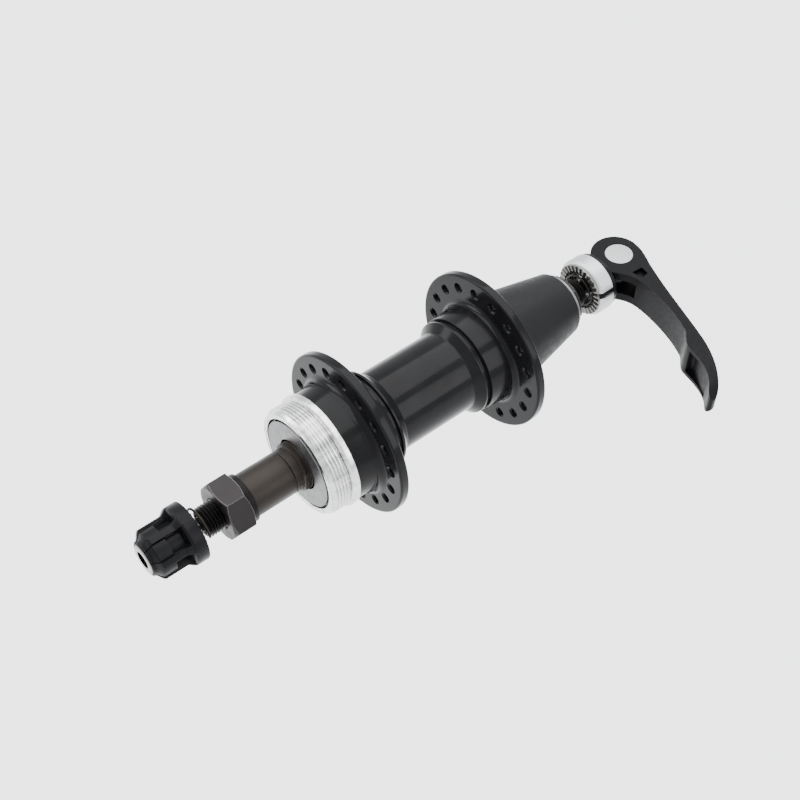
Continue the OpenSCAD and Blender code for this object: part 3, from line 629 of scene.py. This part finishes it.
def drive_cone():
    """Bearing cone: a plain neck, a collar with two wrench flats, and the ground race."""
    low, high = span("drive_cone")
    segments = 240
    inner = AXLE_R + 0.02
    turn = np.arange(segments) * TAU / segments
    flats_half, neck_w, race_back, tip_r = 7.0, 2.5, 3.4, 7.0
    flat = flats_half / np.maximum(np.abs(np.cos(turn)), 1e-3)
    big, neck = 7.7, 6.85
    step = low.y + neck_w
    rows = [(inner, low.y), (neck - 0.25, low.y), (neck, low.y + 0.25), (neck, step - 0.1),
            (neck + 0.1, step),
            (np.minimum(big - 0.25, flat - 0.2), step), (np.minimum(big, flat), step + 0.25),
            (np.minimum(big, flat), step + 1.85), (big - 0.05, step + 1.9), (big, step + 2.0)]
    ball_y, ball_r, race = -33.5, 10.0, 3.275
    for i in range(11):
        swing = math.radians(70 * i / 10 + 22)
        rows.append((ball_r - race * math.sin(swing), ball_y - race * math.cos(swing)))
    rows = rows[:10] + [(big, ball_y - race_back)] + rows[10:]
    rows += [(tip_r, high.y), (inner, high.y)]
    cone = revolve("drive_cone_ground", rows, segments, crease=28)
    return dress(cone, "drive_cone", MATERIALS["spacer_steel"])


def drive_dust_cap():
    """Pressed cover with a hole for the cone and a skirt that fits the shell."""
    low, high = span("drive_dust_cap")
    hole, face_r, skirt_r, skirt_in = 8.2, 14.2, 14.4, 13.6
    back = low.y + 1.2
    outline = [(hole, low.y, 0.25), (face_r, low.y, 0.25), (face_r, back, 0.05), (skirt_r, back, 0.05),
               (skirt_r, high.y, 0.1), (skirt_in, high.y, 0.1), (skirt_in, back, 0.2), (hole, back, 0.25)]
    return dress(revolve("drive_dust_cap_pressed", soften(outline, 0.2, 5), 256), "drive_dust_cap")


def left_boot():
    base, end = boot_lo.y, boot_hi.y
    wide, narrow, web_r = 16.3, 10.7, AXLE_R + 0.05
    web_in, web_out = 60.5, 62.0
    outline = [(wide - 1.5, base, 0.15), (wide, base, 0.35), (narrow + 0.02, end - 0.45, 0.35),
               (narrow - 0.35, end, 0.25), (9.95, end, 0.15), (9.9, web_out, 0), (web_r, web_out, 0.1),
               (web_r, web_in, 0.1), (9.85, web_in, 0.3)]
    return dress(revolve("left_boot_moulded", soften(outline, 0.2, 5), 256), "left_boot")


# ---------------------------------------------------------------- skewer

def skewer_rod():
    segments = 96
    low, high = span("skewer_rod")
    pitch, depth = 0.8, 0.42
    rows = [(0, low.y), (1.9, low.y)]
    rows += thread_rows(low.y, low.y + 18, 2.5, depth, pitch, segments, (0.7, 0.4), 10)
    rows += [(2.35, low.y + 18.6), (2.35, high.y - 14.6)]
    rows += thread_rows(high.y - 14, high.y, 2.5, depth, pitch, segments, (0.4, 0.7), 10)
    rows += [(0, high.y)]
    return dress(revolve("skewer_rod_threaded", rows, segments, closed=False, crease=60), "skewer_rod")


def pivot_pin():
    radius, half = 4.7, pin_hi.z
    outline = [(0, -half, 0), (radius, -half, 0.4), (radius, half, 0.4), (0, half, 0)]
    pin = revolve("pivot_pin_barrel", soften(outline, 0.4, 6, False), 192, closed=False, axis="Z")
    pin.data.transform(Matrix.Translation(PIVOT * MM))
    rod_hole = 2.52
    hole = revolve("hole", [(0, PIVOT.y - 8), (rod_hole, PIVOT.y - 8), (rod_hole, PIVOT.y), (0, PIVOT.y)], 64,
                   closed=False)
    boolean(pin, hole)
    shade(pin, 30)
    mod = pin.modifiers.new("normals", "WEIGHTED_NORMAL")
    mod.keep_sharp = True
    bake(pin)
    return dress(pin, "pivot_pin")


def coil(node, start, end, r0, r1, turns=3.0, wire=0.38):
    """A coil of round wire, from a narrow end that clears the axle to a wide end at its seat."""
    curve = bpy.data.curves.new(node + "_coil", "CURVE")
    curve.dimensions = "3D"
    curve.bevel_depth = wire * MM
    curve.bevel_resolution = 5
    curve.use_fill_caps = True
    line = curve.splines.new("POLY")
    count = int(turns * 48)
    line.points.add(count)
    for i, point in enumerate(line.points):
        t = i / count
        flat = np.interp(t, [0, 0.14, 0.86, 1], [0, 0.05, 0.95, 1])
        angle = TAU * turns * t
        radius = (r0 + (r1 - r0) * t) * MM
        along = (start + (end - start) * flat) * MM
        point.co = (radius * math.cos(angle), along, radius * math.sin(angle), 1)
    source = bpy.data.objects.new(node + "_curve", curve)
    bpy.context.scene.collection.objects.link(source)
    graph = bpy.context.evaluated_depsgraph_get()
    mesh = bpy.data.meshes.new_from_object(source.evaluated_get(graph))
    bpy.data.objects.remove(source)
    spring = bpy.data.objects.new(node + "_coil", mesh)
    bpy.context.scene.collection.objects.link(spring)
    shade(spring, 50)
    spring.data.materials.append(MATERIALS[SLOTS[node]])
    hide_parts(node)
    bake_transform(spring)
    return spring


def cam_housing():
    front, rear = housing_lo.y, housing_hi.y
    radius = housing_hi.x
    rod_hole, spring_cup, saddle_r = 2.8, 6.6, 8.22
    web_front, web_rear = 77.3, 77.8
    outline = [
        (rod_hole, web_front, 0.1), (spring_cup, web_front, 0.3), (spring_cup, front, 0.1),
        (8.9, front, 0.15), (9.35, front + 0.25, 0.3), (radius, front + 0.95, 0.4), (radius, rear, 0.3),
        (saddle_r, rear, 0.1), (saddle_r, web_rear, 0.1), (rod_hole, web_rear, 0.1)]
    housing = revolve("cam_housing_cast", soften(outline, 0.2, 5), 288)
    slot_turn, slot_w, floor_r = math.radians(19), 2.0, 7.6
    half = slot_w / 2
    cutter = prism("cutter", [(floor_r, -half), (floor_r + 4, -half), (floor_r + 4, half), (floor_r, half)],
                   front - 1, rear + 1, plane="XZ")
    cutter.data.transform(Matrix.Rotation(-slot_turn, 4, "Y"))
    boolean(housing, cutter)
    bevel(housing, 0.12, 2, 40)
    return dress(housing, "cam_housing")


def serrated_ring(node, inner, outer, teeth, proud_low, depth=0.3):
    """A flat ring whose front is cut into radial teeth. proud_low is True when the teeth face -Y."""
    segments = teeth * 12
    low, high = span(node)
    turn = np.arange(segments) / segments * teeth
    wave = np.abs(2 * (turn % 1) - 1)
    bite = np.clip(wave * 1.35 - 0.15, 0, 1) * depth
    if proud_low:
        face, back = low.y + bite, high.y
        edge = face + 0.12
    else:
        face, back = high.y - bite, low.y
        edge = face - 0.12
    rows = [(inner, back), (inner, edge), (inner + 0.12, face),
            (outer - 0.15, face), (outer, edge), (outer, back)]
    return dress(revolve(node + "_toothed", rows, segments, crease=25), node)


# ---------------------------------------------------------------- lever

CAM_CLOSED_R = 9.9
CAM_LIFT = 2.4


def cubic(a, b, c, d, steps):
    """Points of a cubic curve after its start."""
    a, b, c, d = (np.array(p, float) for p in (a, b, c, d))
    rows = []
    for i in range(1, steps + 1):
        t = i / steps
        u = 1 - t
        rows.append(tuple(a * u ** 3 + 3 * b * u * u * t + 3 * c * u * t * t + d * t ** 3))
    return rows


def lever_outline():
    """Outline across the pin, from the pivot: cam first, then the hub side, the tip and the outer side."""
    points = []
    for degree in range(90, 271, 3):
        radius = CAM_CLOSED_R - CAM_LIFT * (270 - degree) / 180
        points.append((radius * math.cos(math.radians(degree)), radius * math.sin(math.radians(degree))))
    for degree in range(273, 301, 3):
        radius = CAM_CLOSED_R - (degree - 270) * 0.012
        points.append((radius * math.cos(math.radians(degree)), radius * math.sin(math.radians(degree))))
    points += cubic(points[-1], (7.4, -6.4), (9.2, -4.6), (12.4, -4.2), 10)
    points += cubic(points[-1], (15, -3.9), (18, -4.1), (21, -4.6), 8)
    points += cubic(points[-1], (27, -5.4), (32.5, -6.9), (37.4, -9.2), 12)
    points += cubic(points[-1], (39.2, -10.2), (40.4, -12.6), (42.4, -13.6), 10)
    points += cubic(points[-1], (44.6, -14.6), (51.4, -14.4), (56.4, -19.2), 14)
    points += cubic(points[-1], (57.7, -20.6), (58.9, -22.3), (60.0, -22.4), 6)
    points += cubic(points[-1], (61.5, -22.4), (60.9, -19.9), (59.4, -18.2), 8)
    points += cubic(points[-1], (56, -14.2), (51, -10.8), (44, -7.9), 12)
    points += cubic(points[-1], (34, -4.2), (21, -0.6), (9.5, 4.3), 20)
    points += cubic(points[-1], (6.4, 5.8), (3.4, 7.3), (0.4, CAM_CLOSED_R - CAM_LIFT - 0.01), 8)
    return points[:-1]


def lever_plan():
    """Outline seen along the axle: parallel sides that close in a rounded tip."""
    half = LEVER_T / 2
    top = [(-16, half), (43, half)] + cubic((43, half), (54, half), (61.6, half * 0.8), (61.6, 0), 24)
    bottom = [(x, -z) for x, z in reversed(top[:-1])]
    return top + bottom


def qr_lever():
    half = LEVER_T / 2
    lever = prism("qr_lever_cast", lever_outline(), -half, half)
    boolean(lever, prism("plan", lever_plan(), -40, 20, plane="XZ"), "INTERSECT")
    pin_hole = revolve("hole", [(0, -half - 1), (4.78, -half - 1), (4.78, half + 1), (0, half + 1)], 96,
                       closed=False, axis="Z")
    boolean(lever, pin_hole)
    gap = 2.9
    fork = soften([(-14, -14, 0), (8.6, -14, 0), (12.4, -8, 1), (12.4, -2.4, 2.4), (8.2, 1.4, 2.0),
                   (8.2, 12, 0), (-14, 12, 0)], 1, 6)
    boolean(lever, prism("fork", fork, -gap, gap))
    recess_half = half - 1.3
    finger = soften([(-6.2, -2.6), (6.6, -2.6), (6.0, 0.6), (-5.2, 2.2)], 1.2, 5)
    recess = prism("recess", finger, -recess_half, recess_half)
    tilt = Matrix.Rotation(math.radians(-20), 4, "Z")
    recess.data.transform(Matrix.Translation((49.2 * MM, -16.0 * MM, 0)) @ tilt)
    boolean(lever, recess)
    for side in (-1, 1):
        window = soften([(9.0, -3.2), (13.0, -2.6), (12.4, 0.5), (9.3, 0.9)], 0.25, 3)
        low, high = (half - 1.6, half + 1) if side > 0 else (-half - 1, -half + 1.6)
        boolean(lever, prism("window", window, low, high))
    bevel(lever, 0.42, 3, 32)
    lever.data.transform(Matrix.Translation(PIVOT * MM))
    return dress(lever, "qr_lever")


# ---------------------------------------------------------------- adjusting nut

def adjusting_nut():
    segments = 720
    face, end = nut_hi.y, nut_lo.y
    turn = np.arange(segments) * 360 / segments
    rib_turn, rib_step = 21, 60
    part = (turn - rib_turn + rib_step / 2) % rib_step - rib_step / 2
    distance = np.abs(part)

    def mask(half, soft=1.4):
        return 1 - smooth_step(distance, half - soft / 2, half + soft / 2)

    insert_r, recess_r, flange_r = 4.52, 6.4, nut_hi.x
    rows = [(recess_r, face - 0.75), (8.2, face - 0.75), (8.25, face), (flange_r - 0.3, face)]
    rows += [(flange_r - 0.09, face - 0.1), (flange_r, face - 0.3)]
    rows += [(flange_r, face - 3.3)]
    rib_r = 7.8
    count = 90
    for i in range(count + 1):
        y = face - 3.35 - (face - 3.35 - (end + 0.35)) * i / count
        depth = face - y
        base = 9.15 - smooth_step(depth, 3.4, 5.6) * 2.05
        taper = smooth_step(depth, 12.9, 15.2) * 2.0
        rib_top = 9.2 - smooth_step(depth, 3.5, 6.2) * (9.2 - rib_r) - taper * 1.2
        rib = mask(9.5 - 1.5 * float(smooth_step(depth, 4, 8)))
        block_top = 7.25 - taper
        pocket = float(smooth_step(depth, 4.3, 4.8) * (1 - smooth_step(depth, 8.95, 9.3)))
        between = smooth_step(distance, 9.6, 10.6)
        groove = (smooth_step(distance, 7.6, 8.6) * (1 - smooth_step(distance, 9.6, 10.6))
                  * float(smooth_step(depth, 9.0, 9.4)))
        low = np.where(depth > 4.2, block_top, base)
        low = np.minimum(low, base)
        low = low * (1 - pocket * between) + 5.5 * pocket * between
        low = low - groove * 0.5
        radius = np.maximum(low, rib * rib_top + (1 - rib) * low)
        rows.append((radius, y))
    last = rows[-1][0]
    rows += [(last - 0.2, end + 0.1), (np.minimum(last - 0.4, 5.0), end)]
    rows += [(insert_r + 0.15, end), (insert_r, end + 0.15)]
    rows += [(insert_r, -79.9), (recess_r, -79.9)]
    return dress(revolve("adjusting_nut_cast", rows, segments, crease=38), "adjusting_nut")


def nut_insert():
    low, high = span("nut_insert")
    segments = 120
    outer, hole = 4.5, 2.55
    rows = [(hole, high.y), (outer, high.y), (outer, low.y + 0.25), (outer - 0.25, low.y),
            (hole + 0.15, low.y), (hole, low.y + 0.15)]
    return dress(revolve("nut_insert_turned", rows, segments), "nut_insert")


# ---------------------------------------------------------------- build

hub_shell()
threaded_boss()
hollow_axle()
drive_cone()
spacer_tube("drive_spacer", 6.8)
spacer_tube("left_spacer", 6.8)
spacer_tube("drive_lock_washer", 7.6, 0.2)
spacer_tube("left_lock_washer", 9.6, 0.3)
locknut("drive_locknut", 16.8)
locknut("left_locknut", 15)
drive_dust_cap()
left_boot()
skewer_rod()
pivot_pin()
coil("lever_side_spring", axle_hi.y + 0.5, 76.8, 5.3, 5.9)
coil("nut_side_spring", axle_lo.y - 0.5, -79.4, 5.3, 5.7)
cam_housing()
serrated_ring("housing_bite_ring", 6.6, 8.9, 28, True)
serrated_ring("nut_bite_ring", 6.4, 8.2, 28, False)
qr_lever()
adjusting_nut()
nut_insert()

for node, obj in frame["nodes"].items():
    obj.data.materials.clear()
    obj.data.materials.append(MATERIALS[SLOTS[node]])


# ---------------------------------------------------------------- stage, light and camera

FLOOR_Z = -0.34


def pale_floor():
    mesh = bpy.data.meshes.new("floor")
    size = 6.0
    corners = [(-size, -size), (size, -size), (size, size), (-size, size)]
    mesh.from_pydata([(x, y, FLOOR_Z) for x, y in corners], [], [(0, 1, 2, 3)])
    floor = bpy.data.objects.new("floor", mesh)
    bpy.context.scene.collection.objects.link(floor)
    g = Graph("floor_pale")
    g.link(g.mix(g.noise(3, 3), (0.86, 0.86, 0.865), (0.9, 0.9, 0.9)), "Base Color")
    g.set(Roughness=0.9)
    mesh.materials.append(g.material)


def soft_light(name, at, size, power, tint=(1, 1, 1)):
    light = bpy.data.lights.new(name, "AREA")
    light.shape = "RECTANGLE"
    light.size, light.size_y = size
    light.energy = power
    light.color = tint
    obj = bpy.data.objects.new(name, light)
    bpy.context.scene.collection.objects.link(obj)
    obj.location = at
    obj.rotation_mode = "QUATERNION"
    obj.rotation_quaternion = (-Vector(at)).to_track_quat("-Z", "Y")
    return obj


def studio():
    world = bpy.data.worlds.new("studio")
    world.use_nodes = True
    background = world.node_tree.nodes["Background"]
    background.inputs["Color"].default_value = (0.96, 0.98, 1.0, 1)
    background.inputs["Strength"].default_value = 1.9
    bpy.context.scene.world = world
    soft_light("overhead", (-0.4, 0.4, 2.2), (3.0, 3.0), 150)
    soft_light("left_panel", (-1.4, -1.0, 0.9), (1.0, 1.0), 22)
    soft_light("right_panel", (1.5, 0.6, 0.8), (0.8, 1.2), 16)


def camera():
    azimuth, elevation = math.radians(50.65), math.radians(49.09)
    back = Vector((math.sin(azimuth) * math.cos(elevation), -math.cos(azimuth) * math.cos(elevation),
                   math.sin(elevation)))
    data = bpy.data.cameras.new("camera")
    data.sensor_width = 36
    data.lens = 57.33
    data.clip_start, data.clip_end = 0.01, 20
    obj = bpy.data.objects.new("camera", data)
    bpy.context.scene.collection.objects.link(obj)
    obj.location = (0.19405, -0.1606, 0.2899)
    obj.rotation_mode = "QUATERNION"
    obj.rotation_quaternion = (-back).to_track_quat("-Z", "Y")
    bpy.context.scene.camera = obj


pale_floor()
studio()
camera()
